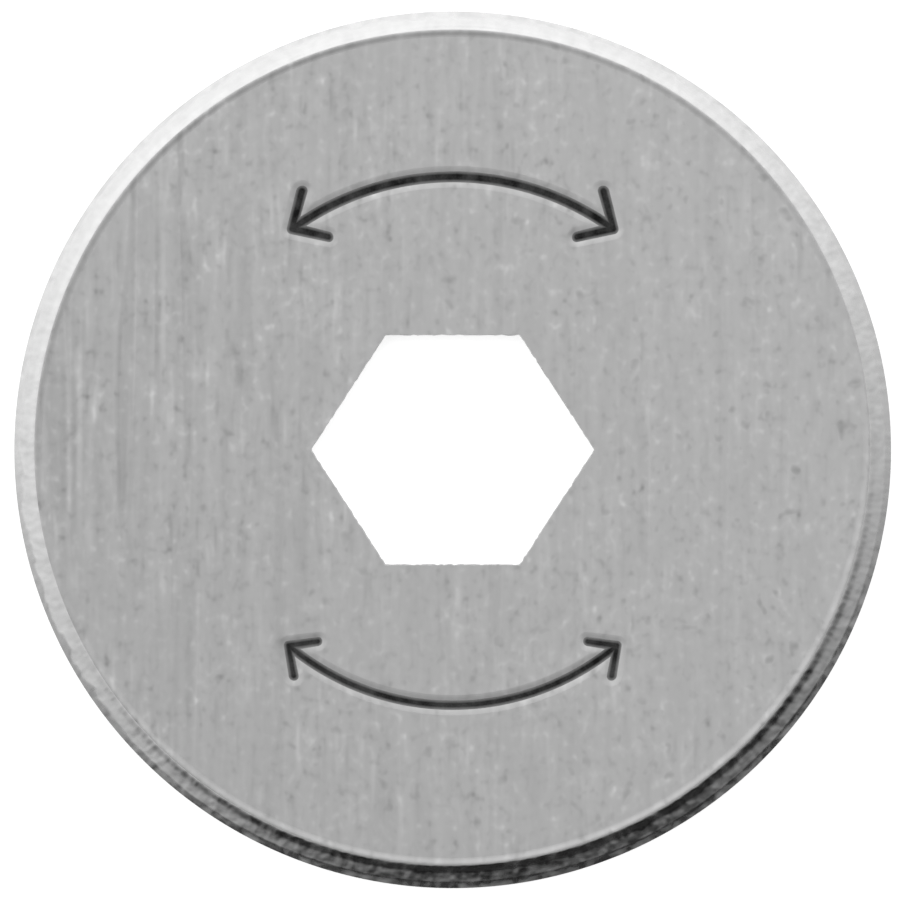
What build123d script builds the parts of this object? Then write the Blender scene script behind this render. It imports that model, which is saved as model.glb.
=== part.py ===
"""Blade for a small rotary cutter.

The blade is one thin disc of tool steel. A hexagonal hole is punched through its
middle, and its rim is ground from both sides to a knife edge that runs all round.
Each side of the rim has two ground cones: a wide one at a low angle, and a narrow,
steeper one that makes the cutting edge.

The axis of the disc is Z. The cutting edge lies in the plane Z = 0, halfway through
the thickness, and the origin is its centre. The hole has two flats parallel to X and
two corners on the X axis.
"""

import os
from math import radians, tan

from build123d import *

# Disc, in millimetres
blade_diameter = 18.0  # across the cutting edge
blade_thickness = 0.3  # of the flat part

# Ground rim, the same on both sides; angles are measured from the flat face
grind_angle = 17.0  # wide cone, in degrees
edge_angle = 24.0  # narrow cone at the cutting edge, in degrees
edge_width = 0.12  # narrow cone, measured along the radius

# Hexagonal hole, in millimetres
hole_flats = 4.7  # between the two flats parallel to X
hole_corners = 5.8  # between the two corners on the X axis
hole_flat_length = 2.75  # of each flat parallel to X, corner to corner
hole_corner_radius = 0.05  # rounding that the punch leaves in each corner
hole_edge_break = 0.02  # chamfer where the hole meets each face

# The rim's section, worked out so that the cones meet the face and each other
edge_radius = blade_diameter / 2
face_height = blade_thickness / 2
shoulder_radius = edge_radius - edge_width
shoulder_height = edge_width * tan(radians(edge_angle))
grind_width = (face_height - shoulder_height) / tan(radians(grind_angle))
face_radius = shoulder_radius - grind_width

# One half of the section is drawn, mirrored to the other side and turned round Z
with BuildPart() as blade:
    with BuildSketch(Plane.XZ):
        with BuildLine():
            Polyline(
                (0, 0),
                (0, face_height),
                (face_radius, face_height),
                (shoulder_radius, shoulder_height),
                (edge_radius, 0),
                close=True,
            )
        make_face()
        mirror(about=Plane.XZ)
    revolve(axis=Axis.Z)

    # The hole goes right through, with its corners rounded by the punch
    with BuildSketch():
        with BuildLine():
            Polyline(
                (hole_corners / 2, 0),
                (hole_flat_length / 2, hole_flats / 2),
                (-hole_flat_length / 2, hole_flats / 2),
                (-hole_corners / 2, 0),
                (-hole_flat_length / 2, -hole_flats / 2),
                (hole_flat_length / 2, -hole_flats / 2),
                close=True,
            )
        hexagon = make_face()
        fillet(hexagon.vertices(), hole_corner_radius)
    extrude(amount=blade_thickness, both=True, mode=Mode.SUBTRACT)

    # The hole's rim is broken on both faces
    hole_rims = [face.inner_wires()[0] for face in blade.faces().filter_by(Axis.Z)]
    chamfer([edge for rim in hole_rims for edge in rim.edges()], hole_edge_break)

blade.part.label = "blade"

os.makedirs("parts", exist_ok=True)
export_step(blade.part, "parts/blade.step")

print(f"flat face diameter {2 * face_radius:.3f} mm")
print(f"ground rim width {edge_radius - face_radius:.3f} mm")
print(f"volume {blade.part.volume:.2f} mm3")
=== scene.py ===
# %% [markdown]
# The blade of a small rotary cutter
#
# The real object is one thin disc of hardened steel, 18 mm across. It is stamped from a
# brushed strip, a hexagonal hole is punched through its middle, and its rim is ground
# from both sides until the two grinds meet in a cutting edge. Two marks are etched in
# the upper face.
#
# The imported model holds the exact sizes. This lesson builds the surface that a person
# sees round those sizes: the grain of the strip, the ground rim with the low swell
# beside it, the sheared wall of the hole and the marks.
#
# The frame is loaded first, because everything else is placed by it.

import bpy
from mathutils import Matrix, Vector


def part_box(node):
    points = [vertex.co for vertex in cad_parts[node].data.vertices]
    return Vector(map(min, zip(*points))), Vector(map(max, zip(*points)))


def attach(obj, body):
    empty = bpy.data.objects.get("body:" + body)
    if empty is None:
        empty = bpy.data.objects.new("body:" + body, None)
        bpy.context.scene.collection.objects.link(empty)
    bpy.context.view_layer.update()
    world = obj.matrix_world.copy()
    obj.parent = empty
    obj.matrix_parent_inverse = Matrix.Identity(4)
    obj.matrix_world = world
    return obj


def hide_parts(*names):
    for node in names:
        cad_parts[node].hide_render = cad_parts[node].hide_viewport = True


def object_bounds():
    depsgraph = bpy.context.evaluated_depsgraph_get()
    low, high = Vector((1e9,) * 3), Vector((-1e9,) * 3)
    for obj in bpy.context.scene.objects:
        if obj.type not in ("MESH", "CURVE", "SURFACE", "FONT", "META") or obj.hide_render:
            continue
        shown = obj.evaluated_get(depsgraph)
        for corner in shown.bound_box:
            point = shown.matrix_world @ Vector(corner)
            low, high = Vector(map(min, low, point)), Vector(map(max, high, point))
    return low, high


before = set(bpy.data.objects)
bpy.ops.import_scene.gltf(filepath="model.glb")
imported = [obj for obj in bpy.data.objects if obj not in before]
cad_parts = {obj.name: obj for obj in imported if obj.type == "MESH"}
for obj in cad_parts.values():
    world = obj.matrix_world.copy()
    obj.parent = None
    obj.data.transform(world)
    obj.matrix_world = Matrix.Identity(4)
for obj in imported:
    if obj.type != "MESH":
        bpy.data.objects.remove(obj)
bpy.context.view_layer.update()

# %% [markdown]
# Sizes
#
# Blender works in metres and the blade is small, so every size is written in
# millimetres and the finished mesh is scaled once. The sizes could be read from the
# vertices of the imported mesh, but that mesh rounds its circles off with flats. So the
# few driving sizes are written out again, and the frame's own are printed beside them.

# %% Sizes of the blade
import math

import bmesh
import bpy
from mathutils import Vector, noise

MM = 0.001

blade_diameter = 18.0
blade_thickness = 0.3
grind_angle = math.radians(17.0)  # wide cone, from the flat face
edge_angle = math.radians(24.0)  # narrow cone at the cutting edge
edge_width = 0.12  # narrow cone, along the radius

hole_flats = 4.7
hole_corners = 5.8
hole_flat_length = 2.75
hole_corner_radius = 0.05
hole_edge_break = 0.02

edge_radius = blade_diameter / 2
face_height = blade_thickness / 2
shoulder_radius = edge_radius - edge_width
shoulder_height = edge_width * math.tan(edge_angle)
face_radius = shoulder_radius - (face_height - shoulder_height) / math.tan(grind_angle)

low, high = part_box("blade")
print(f"diameter {blade_diameter} mm here, {(high.x - low.x) / MM:.3f} mm in the frame")
print(f"thickness {blade_thickness} mm here, {(high.z - low.z) / MM:.3f} mm in the frame")

# %% [markdown]
# Camera
#
# The photograph looks straight down on the blade. A flat thing shows no perspective, but
# its shine does: a short lens sees each part of the face at another slant, and a shiny
# face then runs from light to dark. The face in the photograph changes by only a few
# percent from top to bottom, so the lens is long and the camera stands well back.
#
# The cutting edge is 877 of the 900 pixels wide. That gives the width of the view, and
# the lens gives the distance. The Standard view transform shows white as white, as the
# photograph does.

# %% Camera
photo_width = 900.0  # pixels
edge_width_in_photo = 876.8  # pixels across the cutting edge
centre_in_photo = (452.7, 449.8)  # pixels from the left and from the top
lens, sensor = 400.0, 36.0  # mm: focal length, and width of the sensor
nearest, furthest = 10.0, 2000.0  # mm: between these the camera sees

mm_per_pixel = blade_diameter / edge_width_in_photo
view_width = photo_width * mm_per_pixel

camera_data = bpy.data.cameras.new("camera")
camera_data.lens = lens
camera_data.sensor_width = sensor
camera_data.clip_start, camera_data.clip_end = nearest * MM, furthest * MM
camera = bpy.data.objects.new("camera", camera_data)
bpy.context.scene.collection.objects.link(camera)
camera.location = (
    (photo_width / 2 - centre_in_photo[0]) * mm_per_pixel * MM,
    (centre_in_photo[1] - photo_width / 2) * mm_per_pixel * MM,
    view_width * lens / sensor * MM,
)
bpy.context.scene.camera = camera
bpy.context.scene.view_settings.view_transform = "Standard"
print(f"camera {camera.location.z / MM:.0f} mm above the blade, {view_width:.2f} mm wide view")

# %% [markdown]
# Nodes
#
# Every material and the light below are made of shader nodes. One small function adds a
# node, sets its properties, and gives each input a value or a link. An input is named,
# or found by its place where several inputs share a name. A node can stand for its own
# output, which keeps chains of nodes short.
#
# Colours are written as the hex values that a paint program shows, and one function
# turns them into the linear values that the shader works with.


# %% Helpers for nodes and colours
def add_node(tree, kind, inputs=(), **settings):
    """Adds a node with its settings, and gives its inputs values, sockets or nodes."""
    node = tree.nodes.new("ShaderNode" + kind)
    for name, value in settings.items():
        setattr(node, name, value)
    for key, value in inputs.items() if isinstance(inputs, dict) else enumerate(inputs):
        named = [socket for socket in node.inputs if socket.enabled and socket.name == key]
        socket = named[0] if named else node.inputs[key]
        if isinstance(value, bpy.types.Node):
            value = next(output for output in value.outputs if output.enabled)
        if isinstance(value, bpy.types.NodeSocket):
            tree.links.new(value, socket)
        else:
            socket.default_value = value
    return node


def colour(hex_value):
    """A colour such as #C8C8C8 as linear red, green, blue and alpha."""
    parts = [int(hex_value[i : i + 2], 16) / 255 for i in (1, 3, 5)]
    linear = [p / 12.92 if p <= 0.04045 else ((p + 0.055) / 1.055) ** 2.4 for p in parts]
    return (*linear, 1.0)


print(f"the grey #808080 is {colour('#808080')[0]:.3f} of white in linear light")

# %% [markdown]
# Light
#
# Ground metal shows its surroundings more than its own colour. In the photograph the
# flat face is mid grey, the rim is nearly white at the top and nearly black at the
# bottom, and it turns from one to the other smoothly all the way round. That is a light
# tent: white cloth above and behind the blade, and a dark gap on the near side, where
# the tent is open.
#
# It could be built from area lights, but each one would need its own place and size. A
# world that grows brighter from the dark side to the light side says the same thing in
# one ramp. The ramp's stops follow how bright the rim is from the top of the picture to
# the bottom. A faint glow deep in the dark gap lights the narrow cone, which is steeper
# than the wide one. Close to the horizon the tent is one even grey, so that low views of
# the blade show pale surroundings from every side.

# %% Light tent
tent_azimuth = math.radians(105)  # of the bright side, from +X
tent_strength = 2.1
tent_stops = [  # place from the dark side (-1) to the bright side (1), and brightness
    (-0.80, 0.002),
    (-0.74, 0.006),
    (-0.68, 0.018),
    (-0.57, 0.002),
    (-0.49, 0.046),
    (-0.38, 0.185),
    (-0.28, 0.28),
    (0.0, 0.415),
    (0.25, 0.555),
    (0.42, 0.63),
    (0.54, 0.675),
    (0.74, 0.73),
]
horizon_level = 0.47
horizon_band = (0.22, 0.52)  # height over which the ramp takes over from the horizon

world = bpy.data.worlds.new("light_tent")
world.use_nodes = True
world.node_tree.nodes.clear()
bpy.context.scene.world = world
tent = world.node_tree

direction = add_node(tent, "TexCoord").outputs["Generated"]
bright_side = (math.cos(tent_azimuth), math.sin(tent_azimuth), 0.0)
side = add_node(tent, "VectorMath", [direction, bright_side], operation="DOT_PRODUCT")
ramp = add_node(tent, "ValToRGB", [add_node(tent, "MapRange", [side, -1.0, 1.0, 0.0, 1.0])])
stops = ramp.color_ramp.elements
while len(stops) < len(tent_stops):
    stops.new(0.5)
for stop, (position, level) in zip(stops, tent_stops):
    stop.position = (position + 1) / 2
    stop.color = (level, level, level, 1)

height = add_node(tent, "SeparateXYZ", [direction]).outputs["Z"]
above_horizon = add_node(
    tent, "MapRange", [height, *horizon_band, 0.0, 1.0], interpolation_type="SMOOTHSTEP"
)
cloth = add_node(
    tent,
    "Mix",
    {"Factor": above_horizon, "A": (horizon_level, horizon_level, horizon_level, 1), "B": ramp},
    data_type="RGBA",
)
glow = add_node(tent, "Background", {"Color": cloth, "Strength": tent_strength})
add_node(tent, "OutputWorld", {"Surface": glow})
print("light tent: bright side at", round(math.degrees(tent_azimuth)), "degrees from +X")

# %% [markdown]
# Rings and bands
#
# The blade is built in one bmesh. A ring is a closed row of vertices, and a band of quads
# joins two rings with as many vertices. With a lathe-like shape a Screw modifier could
# turn a section, but rings also let the rim vary round the blade, as grinding leaves it,
# and the hole and the marks are made with the same functions.


# %% Ring and band helpers
def polar(radius, azimuth):
    """The point at that radius and azimuth, in millimetres and radians."""
    return Vector((radius * math.cos(azimuth), radius * math.sin(azimuth)))


def add_ring(mesh, outline, height):
    """A closed row of vertices along an outline, joined by edges."""
    row = [mesh.verts.new((p.x, p.y, height)) for p in outline]
    for a, b in zip(row, row[1:] + row[:1]):
        mesh.edges.new((a, b))
    return row


def ring_edges(mesh, row):
    """The edges that join a ring's vertices."""
    return [mesh.edges.get((a, b)) for a, b in zip(row, row[1:] + row[:1])]


def add_band(mesh, first, second, finish, smooth):
    """A band of quads between two rings, with a finish and a smooth or faceted look."""
    for i, a in enumerate(first):
        j = (i + 1) % len(first)
        quad = mesh.faces.new((a, first[j], second[j], second[i]))
        quad.material_index = finish
        quad.smooth = smooth


def add_sheet(mesh, rings, finish):
    """A flat face of triangles, bounded by its rings. The inner rings are its holes."""
    edges = [edge for row in rings for edge in ring_edges(mesh, row)]
    made = bmesh.ops.triangle_fill(mesh, use_beauty=True, edges=edges, normal=(0, 0, 1))
    for part in made["geom"]:
        if isinstance(part, bmesh.types.BMFace):
            part.material_index = finish


quarter = polar(1.0, math.pi / 2)
print(f"a quarter turn from +X points along ({quarter.x:.0f}, {quarter.y:.0f})")

# %% [markdown]
# The ground rim
#
# The rim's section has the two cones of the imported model, and some forms that are too
# small to measure there. Grinding pushes up a low swell where the wheel leaves the flat
# face, fifteen thousandths of a millimetre high. Its inner side leans the other way from
# the rim, so it draws a soft line between face and rim that is dark where the rim is
# bright and bright where the rim is dark. The round wheel leaves the wide cone very
# slightly hollow. The bend between face and cone is rounded off over a few hundredths of
# a millimetre, and the swell is centred almost on it.
#
# The swell is one arch of a cosine, the hollow is one arch of a parabola, and the bend is
# a piece of another. They are added to the plain section, so the section stays one height
# for each radius. A bevel could round the shoulder between the two cones. Here it has
# three rings close together instead, and smooth shading rounds it over that short
# distance only.

# %% Section of the rim
bend_reach = 0.035  # of the rounded bend, to each side
swell_height = 0.015
swell_width = 0.30
swell_radius = face_radius + 0.008
swell_steps = 12
hollow_depth = 0.0005
cone_steps = 4
shoulder_reach = 0.02  # of the rounding between the two cones, to each side


def plain_height(radius):
    """Height of the flat face, the rounded bend and the two cones at that radius."""
    if radius > shoulder_radius:
        return (edge_radius - radius) * math.tan(edge_angle)
    past = radius - face_radius
    in_bend = min(max(0.0, past + bend_reach), 2 * bend_reach)
    out = in_bend**2 / (4 * bend_reach) + max(0.0, past - bend_reach)
    share = out / (shoulder_radius - face_radius)
    return face_height - out * math.tan(grind_angle) - 4 * hollow_depth * share * (1 - share)


def swell(radius):
    """Height of an even swell at that radius."""
    reach = min(1.0, abs(radius - swell_radius) / (swell_width / 2))
    return swell_height * (1 + math.cos(math.pi * reach)) / 2


def section_radii():
    """The radii at which the section gets a ring: closest at the swell and the shoulder."""
    inner, outer = swell_radius - swell_width / 2, swell_radius + swell_width / 2
    over_swell = [inner + swell_width * k / swell_steps for k in range(swell_steps + 1)]
    step = (shoulder_radius - shoulder_reach - outer) / cone_steps
    over_cone = [outer + step * k for k in range(1, cone_steps + 1)]
    return [*over_swell, *over_cone, shoulder_radius, shoulder_radius + shoulder_reach]


print(f"rim {edge_radius - face_radius:.3f} mm wide, swell {1000 * swell_height:.0f} microns high")

# %% [markdown]
# Round the rim
#
# A lathe would give the same swell all the way round, but a wheel doesn't: it varies in
# height every few tenths of a millimetre, and in smaller lumps on top of that. Fractal
# noise gives both. It is read along a circle, so it meets itself where the round closes.
#
# The photograph also shows that the flat face isn't quite concentric with the edge, by
# about 0.05 mm, as happens when a blade isn't dead true on its arbor. It is a little oval
# too, because the thin disc gives way under the wheel. Both fade out towards the shoulder,
# because the cutting edge is ground true.

# %% Rim round the blade
FACE, GROUND, SHEARED, ETCHED = range(4)  # the finishes, in the order of their slots

azimuths = [math.radians(k / 4) for k in range(4 * 360)]  # a quarter of a degree apart
lump_length = 0.6  # from one lump in the swell to the next
lump_octaves = 3  # each has lumps half as long and half as high
lump_share = 0.32  # how much of its height the swell may lose or gain
lumps_apart = 10  # in the noise, so that the two sides of the blade differ
grind_runout = {1: Vector((-0.010, 0.050)), -1: Vector((0.020, 0.026))}
grind_oval = {1: 0.016, -1: -0.008}  # how far the face reaches out on one diagonal


def lump(azimuth, top):
    """How high the swell stands at that azimuth, as a share of its even height."""
    place = polar(face_radius / lump_length, azimuth)
    spot = (place.x, place.y, lumps_apart * top)
    return 1 + lump_share * noise.fractal(spot, 1.0, 2.0, lump_octaves)


def add_rim(mesh, top, edge_ring):
    """Swell and cones of one side, out to the cutting edge. top is 1 or -1."""
    radii = section_radii()
    lumps = [lump(azimuth, top) for azimuth in azimuths]
    rows = []
    for radius in radii:
        fade = (shoulder_radius - radius) / (shoulder_radius - face_radius)
        fade = min(1.0, max(0.0, fade))
        outline = [
            grind_runout[top] * fade
            + polar(radius + grind_oval[top] * fade * math.sin(2 * azimuth), azimuth)
            for azimuth in azimuths
        ]
        rows.append(add_ring(mesh, outline, 0.0))
        for vertex, share in zip(rows[-1], lumps):
            vertex.co.z = top * (plain_height(radius) + share * swell(radius))
    for radius, inner, outer in zip(radii, rows, rows[1:]):
        add_band(mesh, inner, outer, FACE if radius < face_radius else GROUND, smooth=True)
    add_band(mesh, rows[-1], edge_ring, GROUND, smooth=True)
    return rows[0]


upper_lumps = [lump(azimuth, 1) for azimuth in azimuths]
print(f"upper swell {min(upper_lumps):.2f} to {max(upper_lumps):.2f} of its even height")

# %% [markdown]
# The punched hole
#
# A punch breaks the rim of the hole where it enters, shears a smooth band, and then
# tears the rest of the way. So the wall has a sloping edge, a burnished upper third and
# a slightly wider torn part below. It is a stack of rings of the same rounded hexagon,
# grown by up to two hundredths of a millimetre: its corners keep their centres and only
# their radius grows. Seen close, the sides are a little ragged, because the punch tears
# the hard strip more than it cuts it. So each side is cut into short pieces, and noise
# moves their ends in or out, most of them by a few thousandths of a millimetre and none
# by more than two hundredths.

# %% Punched hole
corner_steps = 6
tear_length = 0.07  # from one ragged spot to the next
tear_depth = 0.02  # at the noise's full swing, which it doesn't quite reach
burnish_end, torn_start = 0.045, 0.033  # heights in the wall
torn_growth, torn_taper = 0.006, 0.002
hole_section = [  # height and growth
    (face_height, hole_edge_break),
    (face_height - hole_edge_break, 0.0),
    (burnish_end, 0.0),
    (torn_start, torn_growth),
    (hole_edge_break - face_height, torn_growth + torn_taper),
    (-face_height, hole_edge_break),
]


def rounded_corner(before, corner, after, radius, grow):
    """Points along the arc that rounds a corner, on a circle that is larger by grow."""
    run_in = (corner - before).normalized()
    run_out = (after - corner).normalized()
    turn = math.atan2(run_in.cross(run_out), run_in.dot(run_out))
    side_in, side_out = run_in.orthogonal(), run_out.orthogonal()
    centre = corner + (side_in + side_out) * radius / (1 + side_in.dot(side_out))
    start = math.atan2(-side_in.y, -side_in.x)
    return [
        centre + polar(radius + grow, start + turn * k / corner_steps)
        for k in range(corner_steps + 1)
    ]


def ragged(outline):
    """The outline in short pieces, with the ends of the pieces moved in or out a little."""
    spots = []
    for here, after in zip(outline, outline[1:] + outline[:1]):
        pieces = max(1, round((after - here).length / tear_length))
        spots += [here.lerp(after, k / pieces) for k in range(pieces)]
    return [p + p.normalized() * tear_depth * noise.noise((*p / tear_length, 0)) for p in spots]


def hexagon(grow):
    """The hole's outline with its rounded corners, larger by grow on every side."""
    half, rise, reach = hole_flat_length / 2, hole_flats / 2, hole_corners / 2
    corners = [(reach, 0), (half, rise), (-half, rise), (-reach, 0), (-half, -rise), (half, -rise)]
    corners = [Vector(corner) for corner in corners]
    points = []
    for before, corner, after in zip(corners[-1:] + corners, corners, corners[1:] + corners[:1]):
        points += rounded_corner(before, corner, after, hole_corner_radius, grow)
    return ragged(points)


def add_hole(mesh):
    """The wall of the hole. Returns its upper and its lower ring."""
    rows = [add_ring(mesh, hexagon(grow), height) for height, grow in hole_section]
    for upper, lower in zip(rows, rows[1:]):
        add_band(mesh, upper, lower, SHEARED, smooth=False)
    return rows[0], rows[-1]


print(f"hole {hole_flats} mm between flats, {hole_corners} mm between corners")

# %% [markdown]
# The etched marks
#
# The upper face carries two dark etched marks, one above and one below the hole, with
# round-ended strokes about 0.2 mm wide. Each is drawn here as a plain double arrow,
# which says that the blade may turn either way.
#
# A curve object with a bevel could draw the strokes, but it would be a body of its own
# and not a groove in the face. So the arrow's outline is worked out in the flat, for any
# width of stroke. Half of one head is enough: the other half mirrors it, and the other
# head turns it round.

# %% Outline of a mark
cap_steps = 10
shaft_steps = 48
arm_slant = math.radians(44)


def arrow_head(arm, half):
    """Half of an arrow head with its tip at (0, 0): crotch, round end of the arm and tip."""
    along = Vector((-math.cos(arm_slant), math.sin(arm_slant)))
    inward = Vector((-math.sin(arm_slant), -math.cos(arm_slant)))
    crotch = along * half * (1 + math.cos(arm_slant)) / math.sin(arm_slant) + inward * half
    start = 1.5 * math.pi - arm_slant
    cap = [along * arm + polar(half, start - math.pi * k / cap_steps) for k in range(cap_steps + 1)]
    turn = math.pi / 2 - arm_slant
    tip = [polar(half, turn * (1 - k / cap_steps)) for k in range(cap_steps)]
    return [crotch, *cap, *tip]


def double_arrow(reach, arm, half):
    """The outline of a straight double arrow, from -reach to reach along X."""
    upper = arrow_head(arm, half)
    lower = [Vector((p.x, -p.y)) for p in reversed(upper)]
    right = [p + Vector((reach, 0)) for p in (*upper, Vector((half, 0)), *lower)]
    left = [-p for p in right]
    under = [right[-1].lerp(left[0], k / shaft_steps) for k in range(1, shaft_steps)]
    over = [-p for p in under]
    return [*right, *under, *left, *over]


outline = double_arrow(reach=1.0, arm=0.5, half=0.1)
print(f"an arrow's outline has {len(outline)} points")

# %% [markdown]
# The etched grooves
#
# A mark painted in a material would be flat, but an etched one is a shallow groove. The
# acid creeps under the edge of the stencil, so the bright steel rounds down into the
# groove, and this lip catches the light on one side, which the photograph shows. The
# groove's sloping wall and its floor are blackened.
#
# The outline of the arrow is bent round the blade. The same outline with a wider stroke
# gives every ring of the lip, and with a narrower one it gives the groove's floor.

# %% Etched grooves
lip_width = 0.11
lip_depth = 0.012
lip_curve = 1.3  # 1 would be a straight slope, and more starts it gently
lip_steps = 4
groove_depth = 0.022
groove_wall = 0.065  # width of the sloping wall, seen from above
# The angles of both marks are in degrees, and their lengths in mm.
upper_mark = {"azimuth": 90, "radius": 5.60, "half_span": 36, "arm": 0.78, "stroke": 0.225}
lower_mark = {"azimuth": 270, "radius": 5.24, "half_span": 40, "arm": 0.62, "stroke": 0.195}


def add_mark(mesh, azimuth, radius, half_span, arm, stroke):
    """An etched double arrow: a round lip, a sloping wall and a floor. Returns its rim."""
    middle, reach = math.radians(azimuth), radius * math.radians(half_span)
    down = [k / lip_steps for k in range(lip_steps + 1)]
    section = [(stroke / 2 + lip_width * (1 - share), lip_depth * share**lip_curve) for share in down]
    section.append((stroke / 2 - groove_wall, groove_depth))
    rings = []
    for half, depth in section:
        flat = double_arrow(reach, arm, half)
        bent = [polar(radius + p.y, middle - p.x / radius) for p in flat]
        rings.append(add_ring(mesh, bent, face_height - depth))
    for outer, inner in zip(rings[:-1], rings[1:-1]):
        add_band(mesh, outer, inner, FACE, smooth=True)
    add_band(mesh, *rings[-2:], ETCHED, smooth=True)
    add_sheet(mesh, rings[-1:], ETCHED)
    return rings[0]


print(f"grooves {groove_depth} mm deep, below a lip of {lip_width} mm")

# %% [markdown]
# Putting the mesh together
#
# The two flat faces are filled last, between the rim, the hole and the marks that bound
# them. Smooth shading would round off the cutting edge, so its edges are marked sharp.
# The mesh is then tested: a closed solid has exactly two faces at every edge, and its
# volume can be compared with the 67 mm3 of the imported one.

# %% Blade mesh
mesh = bmesh.new()
cutting_edge = add_ring(mesh, [polar(edge_radius, azimuth) for azimuth in azimuths], 0.0)
upper_rim = add_rim(mesh, 1, cutting_edge)
lower_rim = add_rim(mesh, -1, cutting_edge)
upper_hole, lower_hole = add_hole(mesh)
marks = [add_mark(mesh, **mark) for mark in (upper_mark, lower_mark)]
add_sheet(mesh, [upper_rim, upper_hole, *marks], FACE)
add_sheet(mesh, [lower_rim, lower_hole], FACE)
bmesh.ops.recalc_face_normals(mesh, faces=mesh.faces)
for edge in ring_edges(mesh, cutting_edge):
    edge.smooth = False

open_edges = sum(len(edge.link_faces) != 2 for edge in mesh.edges)
print(f"{len(mesh.faces)} faces, {open_edges} open edges, {mesh.calc_volume():.2f} mm3")
bmesh.ops.scale(mesh, vec=(MM, MM, MM), verts=mesh.verts)

finished_blade = bpy.data.objects.new("finished_blade", bpy.data.meshes.new("finished_blade"))
mesh.to_mesh(finished_blade.data)
mesh.free()
bpy.context.scene.collection.objects.link(finished_blade)

# %% [markdown]
# Patterns and finishes
#
# Each finish is a pattern of grains with a real size, and three things follow it: the
# colour, the gloss and a fine relief. A pattern could be an image, but noise in the
# object's own coordinates has no seams and no resolution. The size of a pattern is that
# of a light and a dark grain together, so a streak 0.1 mm wide needs a size of 0.2 mm.
# Several patterns are added up round their middle, each with its share.


# %% Helpers for finishes
def new_tree(name):
    """A new material with an empty node tree."""
    material = bpy.data.materials.new(name)
    material.use_nodes = True
    material.node_tree.nodes.clear()
    return material, material.node_tree


def pattern(tree, size, detail=1.0, place=None):
    """Noise round 0.5. Its size is in millimetres along X, Y and Z."""
    place = place or add_node(tree, "TexCoord").outputs["Object"]
    grains = [1 / (MM * length) for length in size]
    place = add_node(tree, "VectorMath", [place, grains], operation="MULTIPLY")
    return add_node(tree, "TexNoise", {"Vector": place, "Scale": 1.0, "Detail": detail})


def add_up(tree, parts):
    """Adds patterns round their middle of 0.5, each with its share."""
    total = 0.5
    for value, share in parts:
        swing = add_node(tree, "Math", [value, 0.5], operation="SUBTRACT")
        total = add_node(tree, "Math", [swing, share, total], operation="MULTIPLY_ADD")
    return total


def finish_with(tree, grain, colours, roughness, relief, gloss=None, height=None, **constants):
    """A shader with a relief in millimetres. Colour, gloss and relief follow the grain,
    unless gloss or height names another pattern."""
    ends = {"A": colour(colours[0]), "B": colour(colours[1])}
    bump = {"Distance": relief * MM, "Height": height or grain}
    inputs = {
        "Base Color": add_node(tree, "Mix", {"Factor": grain, **ends}, data_type="RGBA"),
        "Metallic": 1.0,
        "Roughness": add_node(tree, "MapRange", [gloss or grain, 0.0, 1.0, *roughness]),
        "Normal": add_node(tree, "Bump", bump),
    }
    shader = add_node(tree, "BsdfPrincipled", {**inputs, **constants})
    add_node(tree, "OutputMaterial", {"Surface": shader})


print(f"a pattern of 0.2 mm repeats {blade_diameter / 0.2:.0f} times across the blade")

# %% [markdown]
# Brushed strip steel
#
# The flat faces are hardened carbon steel strip, brushed along its length. The eye sees a
# mid grey with a soft mottle, and streaks that all run one way. In the photograph the
# streaks are 0.1 mm wide and one to three millimetres long; real brush lines are ten
# times finer, and these are as coarse as the picture can show.
#
# The streaks are stronger on the left of the blade than on the right, and in patches. One value grows
# towards the left: it makes the streaks stronger there, and it also makes the steel's colour a little
# darker and rougher towards the left.
#
# Plain noise is even, like cloth. On steel most of the grain is faint and a few dashes
# and specks stand out, so their patterns are multiplied by their own strength.

# %% Grain of the strip
strong_grain = 5.0  # a grain that is 1 / 5 off the middle keeps its strength


def stand_out(tree, value):
    """Keeps a pattern's strongest grains and fades the others."""
    swing = add_node(tree, "Math", [value, 0.5], operation="SUBTRACT")
    strength = add_node(tree, "Math", [swing], operation="ABSOLUTE")
    strength = add_node(tree, "Math", [strength, strong_grain], operation="MULTIPLY")
    return add_node(tree, "Math", [swing, strength, 0.5], operation="MULTIPLY_ADD")


mottle_size = (0.20, 0.24, 0.20)
streak_size = (0.22, 5.5, 0.22)
dash_size = (0.19, 1.1, 0.19)
patch_size = (1.2, 1.8, 1.2)
weight_at_left, weight_at_right = 0.56, 0.32
weight_from, weight_to = -7.0, 6.0  # across the blade
patch_band = (0.35, 0.65)  # of the noise, from its weakest to its strongest patches
weak_patch, strong_patch = 0.6, 1.3  # how much of the grain they show
mottle_strength, streak_strength = 0.65, 0.46
patch_shade, left_darkening = 0.12, -0.42  # how much lighter or darker they make the steel

brushed, tree = new_tree("brushed_strip_steel")
place = add_node(tree, "SeparateXYZ", [add_node(tree, "TexCoord").outputs["Object"]])
across, along, height = place.outputs
weight_side = [across, weight_from * MM, weight_to * MM]
left_weight = add_node(tree, "MapRange", [*weight_side, weight_at_left, weight_at_right])
patches = pattern(tree, patch_size)
patch_share = add_node(tree, "MapRange", [patches, *patch_band, weak_patch, strong_patch])
dash_share = add_node(tree, "Math", [patch_share, left_weight], operation="MULTIPLY")
mottle_share = add_node(tree, "Math", [patch_share, mottle_strength], operation="MULTIPLY")
streak_share = add_node(tree, "Math", [left_weight, streak_strength], operation="MULTIPLY")
streaks = add_up(
    tree,
    [
        (pattern(tree, streak_size, detail=0.7), streak_share),
        (stand_out(tree, pattern(tree, dash_size)), dash_share),
    ],
)
mottle = stand_out(tree, pattern(tree, mottle_size))
# Towards the left the steel's colour is made a little darker by the same value that strengthens the
# streaks.
grain = add_up(
    tree,
    [(streaks, 1.0), (mottle, mottle_share), (patches, patch_shade), (left_weight, left_darkening)],
)
print("streaks", streak_size[0] / 2, "mm wide, mottle", mottle_size[0] / 2, "mm")

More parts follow.
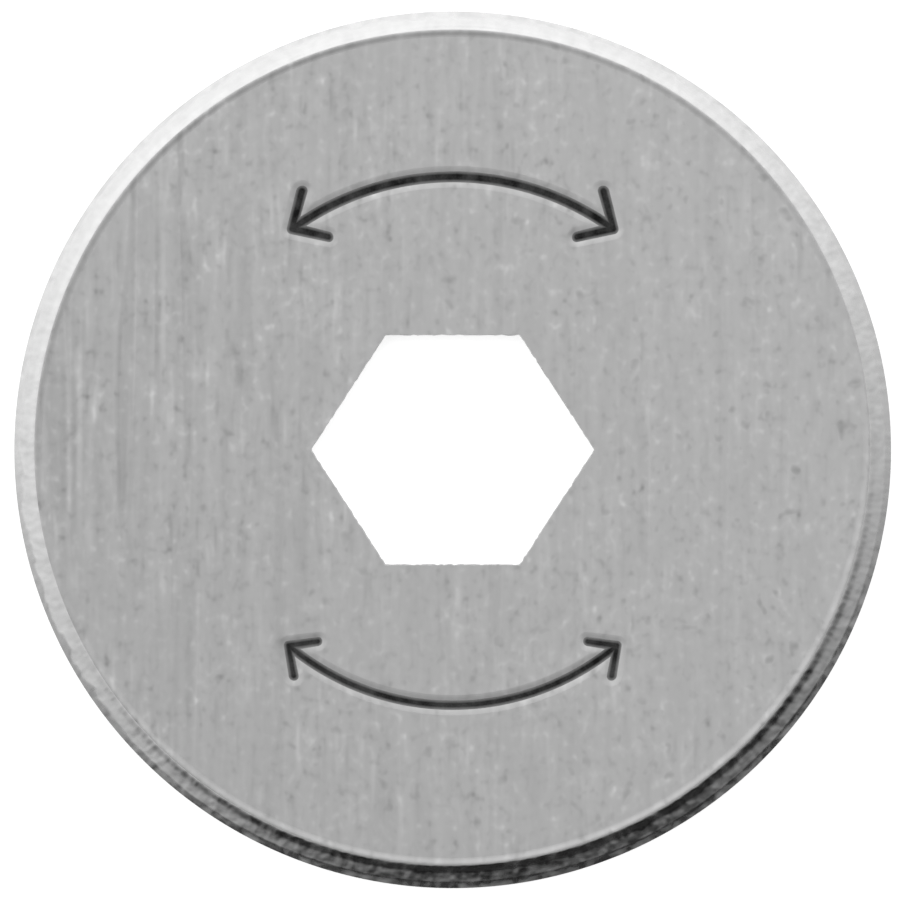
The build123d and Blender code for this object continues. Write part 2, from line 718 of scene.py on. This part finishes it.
# %% [markdown]
# Pits and scratches
#
# A few dark specks are pits from rolling, and deeper scratches stand out on the far left.
# Both are noise of which only the highest grains are kept, which leaves a few marks far
# apart. Pits only darken the steel. Scratches are in the relief too, so they catch the
# light.

# %% Pits and scratches
pit_size = (0.26, 0.30, 0.26)
pit_cut = (0.68, 0.88)  # of the noise, from the edge of a pit to its floor
left_pit, right_pit = -0.12, -0.45  # what a pit takes off the grain
pits_from, pits_to = -6.0, 6.0  # across the blade
scratch_size = (0.30, 6.0, 0.30)
scratch_cut = (0.58, 0.78)
left_scratch, right_scratch = 1.0, 0.25
scratches_from, scratches_to = -7.5, -4.0
scratch_shade, scratch_depth = -0.15, -4.5  # in the grain, and in the relief

pits = add_node(tree, "MapRange", [pattern(tree, pit_size, detail=0.5), *pit_cut, 0.0, 1.0])
pit_side = [across, pits_from * MM, pits_to * MM]
pit_share = add_node(tree, "MapRange", [*pit_side, left_pit, right_pit])
grain = add_node(tree, "Math", [pits, pit_share, grain], operation="MULTIPLY_ADD")

scratch_side = [across, scratches_from * MM, scratches_to * MM]
scratch_share = add_node(tree, "MapRange", [*scratch_side, left_scratch, right_scratch])
scratches = pattern(tree, scratch_size, detail=0.0)
scratches = add_node(
    tree, "MapRange", [scratches, *scratch_cut, 0.0, 1.0], interpolation_type="SMOOTHSTEP"
)
scratches = add_node(tree, "Math", [scratches, scratch_share], operation="MULTIPLY")
grain = add_node(tree, "Math", [scratches, scratch_shade, grain], operation="MULTIPLY_ADD")
relief = add_node(tree, "Math", [scratches, scratch_depth, streaks], operation="MULTIPLY_ADD")
print("scratches", scratch_size[0] / 2, "mm wide and", scratch_size[1] / 2, "mm long")

# %% [markdown]
# Two long scratches
#
# Two scratches on the left are long enough to be placed one by one. Each has a dark and a light
# flank, a painted shade and a painted highlight, which one turn of a sine draws into the colour
# across it, and it fades in and out at its ends. They are on the upper side only.
#
# The finish itself goes from a dark to a light steel grey, with a relief of a few
# thousandths of a millimetre.

# %% Long scratches and the finish
long_scratches = [(-7.71, -2.2, 3.4), (-6.0, 0.4, 5.6)]  # across, and from and to along
scratch_reach = 0.13  # from the middle of a long scratch to the outside of its flanks
scratch_fade = 1.6  # over which a long scratch fades in at each end
painted_flank_share = 0.16

upper_side = add_node(tree, "MapRange", [height, 0.0, face_height * MM, 0.0, 1.0])
# Painted highlight and painted shade: the light and the dark flank of each long scratch are drawn
# into the steel's colour.
for middle, low_end, high_end in long_scratches:
    near, far = (middle - scratch_reach) * MM, (middle + scratch_reach) * MM
    phase = add_node(tree, "MapRange", [across, near, far, -math.pi, math.pi])
    painted_flanks = add_node(tree, "Math", [phase], operation="SINE")
    for end, inside in ((low_end, low_end + scratch_fade), (high_end, high_end - scratch_fade)):
        fade = add_node(tree, "MapRange", [along, end * MM, inside * MM, 0.0, 1.0])
        painted_flanks = add_node(tree, "Math", [painted_flanks, fade], operation="MULTIPLY")
    painted_flanks = add_node(tree, "Math", [painted_flanks, upper_side], operation="MULTIPLY")
    grain = add_node(tree, "Math", [painted_flanks, painted_flank_share, grain], operation="MULTIPLY_ADD")
finish_with(
    tree,
    grain,
    colours=("#999999", "#D4D4D4"),
    roughness=(0.42, 0.36),
    relief=0.003,
    height=relief,
)
print(brushed.name, "has", len(tree.nodes), "nodes")

# %% [markdown]
# Ground steel
#
# Both cones are wet ground. A fine wheel leaves steel glossier than a brush does, so the
# rim shows the tent more sharply than the face: bright at the top of the picture and
# dark at the bottom. Its cut is uneven, though, so gloss and relief are mottled, which
# shows most where the rim is dark. Real grinding lines are much finer than this mottle,
# which is as coarse as the picture shows it.
#
# The pattern runs round the rim without a seam, which an angle would not give: it takes
# the direction from the centre, as the position divided by its own length. The distance
# from the centre takes the place of the height, with its sign from the side of the blade,
# so that the two sides differ.


# %% Mottle of the grind
def rim_place(tree):
    """Position round the cutting edge with the distance from the centre as its height, and
    that distance."""
    place = add_node(tree, "TexCoord").outputs["Object"]
    flat = add_node(tree, "VectorMath", [place, (1, 1, 0)], operation="MULTIPLY")
    outward = add_node(tree, "VectorMath", [flat], operation="NORMALIZE")
    distance = add_node(tree, "VectorMath", [flat], operation="LENGTH")
    height = add_node(tree, "SeparateXYZ", [place]).outputs["Z"]
    side = add_node(tree, "Math", [height], operation="SIGN")
    rise = add_node(tree, "Math", [side, distance], operation="MULTIPLY")
    ring = add_node(
        tree, "VectorMath", {"Vector": outward, "Scale": edge_radius * MM}, operation="SCALE"
    )
    column = add_node(tree, "CombineXYZ", {"Z": rise})
    return add_node(tree, "VectorMath", [ring, column], operation="ADD"), distance


blotch_size = (0.34, 0.34, 0.36)
fleck_size = (0.24, 0.24, 0.24)
blotch_strength, fleck_strength = 0.7, 0.7

ground, tree = new_tree("ground_steel")
place, distance = rim_place(tree)
blotches = pattern(tree, blotch_size, place=place)
fleck = pattern(tree, fleck_size, place=place)
grind = add_up(tree, [(blotches, blotch_strength), (fleck, fleck_strength)])
swing = add_node(tree, "Math", [grind, 0.5], operation="SUBTRACT")
print(f"{math.tau * edge_radius / fleck_size[0]:.0f} flecks round the cutting edge")

# %% [markdown]
# The two cones
#
# The narrow cone is honed last, in one light pass that touches some spots more than
# others, so it is duller than the wide cone and its gloss varies more. The stone also
# rubs the shoulder between the cones, so their line is soft and wavers. The distance from
# the centre tells the cones apart, and the mottle moves the line between them.
#
# No rim is ground the same all the way round. At the lower left the narrow cone's colour is painted
# darker, a painted shade that draws a fine dark line along the edge. At the right the cut is smoother
# than elsewhere. An angle could say where, but it jumps where the round closes. How far a point lies
# towards one azimuth doesn't.


# %% Ground steel
def towards(tree, azimuth):
    """How far a point lies from the middle of the blade towards that azimuth."""
    place = add_node(tree, "TexCoord").outputs["Object"]
    ahead = (math.cos(azimuth), math.sin(azimuth), 0.0)
    return add_node(tree, "VectorMath", [place, ahead], operation="DOT_PRODUCT")


hone_waver = 0.25  # how far the mottle moves the line between the cones
hone_start, hone_end = shoulder_radius - 0.03, shoulder_radius + 0.05
shaded_azimuth = math.radians(214)
shaded_start, shaded_end = 7.2, 8.8  # towards that azimuth, from the centre
honed_grey, shaded_grey = -0.12, -1.0  # what honing takes off the grain; the second also holds a painted shade at the lower left
smooth_azimuth = math.radians(335)
smooth_start, smooth_end = 7.0, 8.6
rough_cut, smooth_cut = 1.1, 0.7  # share of the relief
grind_shade = 0.3
fleck_band = (0.30, 0.64)  # of the noise, from the dullest to the brightest spots
wide_gloss = (0.70, 1.0)  # of the wide cone's dullest and brightest spots
narrow_gloss = (0.35, 0.78)

wavering = add_node(tree, "Math", [swing, hone_waver * MM, distance], operation="MULTIPLY_ADD")
honed = add_node(
    tree,
    "MapRange",
    [wavering, hone_start * MM, hone_end * MM, 0.0, 1.0],
    interpolation_type="SMOOTHSTEP",
)
# Painted shade: towards the lower left the narrow cone's colour is made much darker, which draws a
# fine dark line along the edge.
shaded_side = [towards(tree, shaded_azimuth), shaded_start * MM, shaded_end * MM]
honed_grey_and_shade = add_node(tree, "MapRange", [*shaded_side, honed_grey, shaded_grey])
grain = add_up(tree, [(grind, grind_shade), (honed, honed_grey_and_shade)])
smooth_side = [towards(tree, smooth_azimuth), smooth_start * MM, smooth_end * MM]
cut_share = add_node(tree, "MapRange", [*smooth_side, rough_cut, smooth_cut])
cut = add_node(tree, "Math", [swing, cut_share, 0.5], operation="MULTIPLY_ADD")
dull, bright = (
    add_node(tree, "MapRange", [honed, 0.0, 1.0, wide, narrow])
    for wide, narrow in zip(wide_gloss, narrow_gloss)
)
gloss = add_node(tree, "MapRange", [fleck, *fleck_band, dull, bright])
finish_with(
    tree,
    grain,
    colours=("#B8B8B8", "#DCDCDC"),
    roughness=(0.60, 0.12),
    relief=0.014,
    gloss=gloss,
    height=cut,
)
print(ground.name, "has", len(tree.nodes), "nodes")

# %% [markdown]
# Sheared steel
#
# The wall of the hole is steel as the punch left it. Score lines run through the
# thickness and make it rougher than the face, so it shines less.

# %% Sheared steel
score_size = (0.03, 0.03, 0.4)

sheared, tree = new_tree("sheared_steel")
scores = pattern(tree, score_size, detail=2.0)
finish_with(
    tree, scores, colours=("#A6A6A6", "#D2D2D2"), roughness=(0.50, 0.36), relief=0.003
)
print(sheared.name, "has", len(tree.nodes), "nodes")

# %% [markdown]
# Etched and blackened steel
#
# The marks are etched with current through a stencil, which leaves a black oxide. It is
# not a bare metal surface any more, so it is matt and nearly black, with a fine pitted
# texture. The pits trap most of the light that a smooth surface would send back, so the
# shader's specular level is low.
#
# The oxide is thickest on the floor of the groove and thins out up its wall, which makes
# the edge of a stroke look soft. The wall is sloping, so the height in the blade tells
# how far up it a point lies.

# %% Etched steel
etch_size = (0.04, 0.04, 0.04)
cloud_size = (0.30, 0.30, 0.30)  # from a thicker patch of the oxide to the next
floor_height, wall_height = face_height - groove_depth, face_height - lip_depth
thickest, thinnest = 0.10, 0.90  # how much steel shows through
pit_strength, cloud_strength = 0.15, 0.45
matt_oxide = {"Metallic": 0.0, "Specular IOR Level": 0.2}

etched, tree = new_tree("etched_oxide")
height = add_node(tree, "SeparateXYZ", [add_node(tree, "TexCoord").outputs["Object"]]).outputs["Z"]
up_wall = [height, floor_height * MM, wall_height * MM]
thin = add_node(tree, "MapRange", [*up_wall, thickest, thinnest])
pits = pattern(tree, etch_size, detail=2.0)
clouds = pattern(tree, cloud_size)
oxide = add_up(tree, [(thin, 1.0), (pits, pit_strength), (clouds, cloud_strength)])
finish_with(
    tree,
    oxide,
    colours=("#060606", "#8A8A8A"),
    roughness=(0.80, 0.64),
    relief=0.004,
    height=pits,
    **matt_oxide,
)
print(etched.name, "has", len(tree.nodes), "nodes")

# %% [markdown]
# Dress the blade and tie it to the frame
#
# The finishes go on in the order of the numbers that the faces carry. The finished blade
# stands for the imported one, rides on its body and takes its finish from its slot.

# %% Dress the blade
for finish in (brushed, ground, sheared, etched):
    finished_blade.data.materials.append(finish)
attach(finished_blade, "root")
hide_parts("blade")
print("finishes:", [finish.name for finish in finished_blade.data.materials])

# %% [markdown]
# The table
#
# The photograph's background is pure white with hardly a shadow, which is how a light
# table looks: a sheet of white acrylic that glows a little from below. It is a plain
# sheet just under the blade, wide enough to fill the view from every side.

# %% Light table
table_half = 600.0  # mm from its middle to each side
table_glow = 0.74

table_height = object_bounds()[0].z / MM
table_mesh = bmesh.new()
corners = [(-1, -1), (1, -1), (1, 1), (-1, 1)]
table_mesh.faces.new(
    [
        table_mesh.verts.new((x * table_half * MM, y * table_half * MM, table_height * MM))
        for x, y in corners
    ]
)
light_table = bpy.data.objects.new("light_table", bpy.data.meshes.new("light_table"))
table_mesh.to_mesh(light_table.data)
table_mesh.free()
bpy.context.scene.collection.objects.link(light_table)

acrylic, tree = new_tree("white_acrylic")
shader = add_node(
    tree,
    "BsdfPrincipled",
    {
        "Base Color": colour("#BDBDBD"),
        "Roughness": 0.6,
        "Emission Color": colour("#FFFFFF"),
        "Emission Strength": table_glow,
    },
)
add_node(tree, "OutputMaterial", {"Surface": shader})
light_table.data.materials.append(acrylic)
print(f"light table {2 * table_half:.0f} mm wide, its top at {table_height:.3f} mm")
